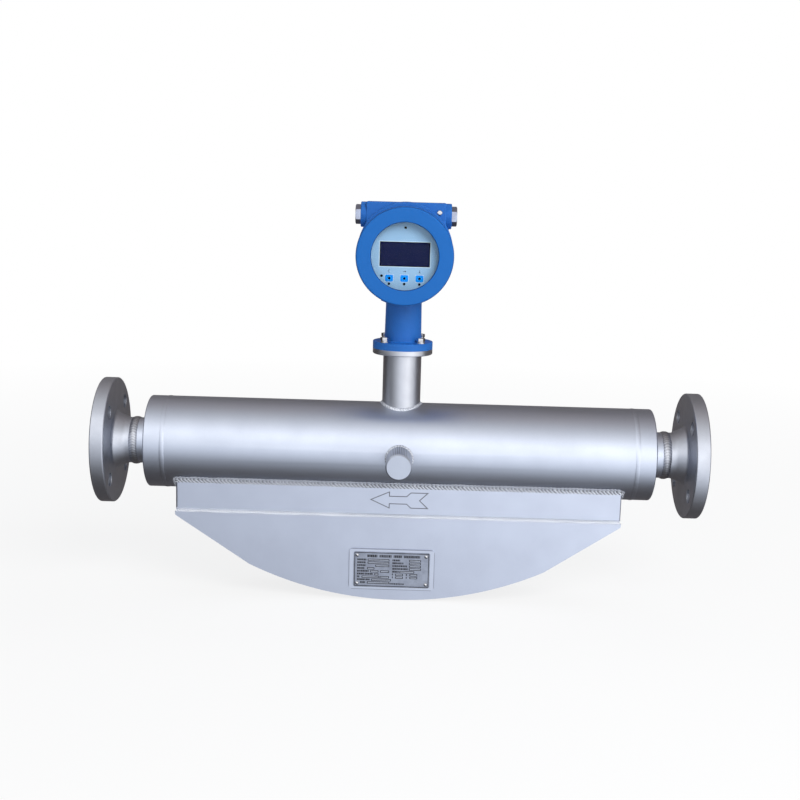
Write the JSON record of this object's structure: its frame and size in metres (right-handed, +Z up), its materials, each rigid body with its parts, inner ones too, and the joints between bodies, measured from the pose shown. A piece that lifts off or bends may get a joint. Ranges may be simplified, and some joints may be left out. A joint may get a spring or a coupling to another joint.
{
  "type": "coriolis flow meter",
  "caption": "Flanged coriolis mass flow meter: round steel housing, crescent sensor casing below, bolted neck and a blue display transmitter head.",
  "frame": {"origin": "centre of the inlet flange's raised face, on the pipe axis", "axes": "+X along the pipe out of the inlet (the flow runs to -X), display faces -Y, +Z up towards the head"},
  "size_m": [0.79, 0.1895, 0.5168],
  "materials": {
    "stainless": "satin bead-blasted",
    "weld_steel": "rippled weld",
    "blue_paint": "semi-gloss paint",
    "bright_fastener": "bright",
    "nickel_gland": "nickel plated",
    "black_screw": "black oxide",
    "engraved_plate": "satin etched",
    "black_rubber": "matte",
    "window_clear": "clear",
    "black_ring": "black anodised",
    "panel_film": "matte film",
    "screen_dark": "dark screen",
    "key_blue": "gloss film",
    "sensor_dark": "dark lens",
    "board_green": "solder mask",
    "terminal_green": "moulded",
    "potting": "cast resin",
    "copper_winding": "wound copper",
    "magnet_metal": "plated",
    "sensor_ceramic": "white ceramic",
    "loom_jacket": "white jacket"
  },
  "bodies": {
    "meter": {"board_spacers": "bright_fastener", "brace_plates": "stainless", "casing_skirt": "stainless", "display_board": "board_green", "display_panel": "panel_film", "earth_screw": "bright_fastener", "end_cap_welds": "weld_steel", "feedthrough": "potting", "fin_front_plate": "stainless", "fin_rear_plate": "stainless", "fin_rim_strip": "stainless", "fin_weld": "weld_steel", "gland_grommets": "black_rubber", "head_body": "blue_paint", "head_foot": "blue_paint", "housing_tube": "stainless", "inlet_end_cap": "stainless", "inlet_flange": "stainless", "inlet_splitter": "stainless", "lcd_module": "screen_dark", "main_board": "board_green", "measuring_tube_front": "stainless", "measuring_tube_rear": "stainless", "nameplate": "engraved_plate", "nameplate_pad": "stainless", "nameplate_rivets": "bright_fastener", "neck_bolts": "bright_fastener", "neck_flange": "stainless", "neck_oring": "black_rubber", "neck_tube": "stainless", "neck_washers": "bright_fastener", "neck_weld": "weld_steel", "optical_sensors": "sensor_dark", "outlet_end_cap": "stainless", "outlet_flange": "stainless", "outlet_splitter": "stainless", "pipe_welds": "weld_steel", "purge_port": "stainless", "purge_port_weld": "weld_steel", "sensor_brackets": "stainless", "sensor_coils": "copper_winding", "sensor_loom": "loom_jacket", "sensor_magnets": "magnet_metal", "set_screws": "black_screw", "skirt_weld": "weld_steel", "temperature_sensor": "sensor_ceramic", "terminal_block": "terminal_green", "terminal_screws": "bright_fastener", "touch_keys": "key_blue"},
    "front_cover_seal": {"front_cover_oring": "black_rubber"},
    "front_cover": {"front_cover": "blue_paint", "window_gasket": "black_rubber", "window_glass": "window_clear", "window_retainer": "black_ring"},
    "rear_cover_seal": {"rear_cover_oring": "black_rubber"},
    "rear_cover": {"rear_cover": "blue_paint"},
    "left_gland_washer": {"gland_washer_left": "nickel_gland"},
    "left_gland_nut": {"gland_nut_left": "nickel_gland"},
    "right_gland_washer": {"gland_washer_right": "nickel_gland"},
    "right_gland_nut": {"gland_nut_right": "nickel_gland"}
  },
  "joints": [
    {"name": "front_cover_travel", "type": "slide", "parent": "meter", "child": "front_cover_seal", "axis": [0, -1, 0], "range_m": [0, 0.022]},
    {"name": "front_cover_turn", "type": "hinge", "parent": "front_cover_seal", "child": "front_cover", "pos_m": [-0.395, 0, 0.256], "axis": [0, -1, 0], "range_deg": [0, 3960]},
    {"name": "rear_cover_travel", "type": "slide", "parent": "meter", "child": "rear_cover_seal", "axis": [0, 1, 0], "range_m": [0, 0.022]},
    {"name": "rear_cover_turn", "type": "hinge", "parent": "rear_cover_seal", "child": "rear_cover", "pos_m": [-0.395, 0, 0.256], "axis": [0, 1, 0], "range_deg": [0, 3960]},
    {"name": "left_gland_travel", "type": "slide", "parent": "meter", "child": "left_gland_washer", "axis": [-1, 0, 0], "range_m": [0, 0.0105]},
    {"name": "left_gland_turn", "type": "hinge", "parent": "left_gland_washer", "child": "left_gland_nut", "pos_m": [-0.395, 0, 0.3048], "axis": [-1, 0, 0], "range_deg": [0, 2520]},
    {"name": "right_gland_travel", "type": "slide", "parent": "meter", "child": "right_gland_washer", "axis": [1, 0, 0], "range_m": [0, 0.0105]},
    {"name": "right_gland_turn", "type": "hinge", "parent": "right_gland_washer", "child": "right_gland_nut", "pos_m": [-0.395, 0, 0.3048], "axis": [1, 0, 0], "range_deg": [0, 2520]}
  ],
  "couplings": [
    {"joint": "front_cover_travel", "follows": "front_cover_turn", "m_per_rad": 0.00031831},
    {"joint": "rear_cover_travel", "follows": "rear_cover_turn", "m_per_rad": 0.00031831},
    {"joint": "left_gland_travel", "follows": "left_gland_turn", "m_per_rad": 0.00023873},
    {"joint": "right_gland_travel", "follows": "right_gland_turn", "m_per_rad": 0.00023873}
  ]
}
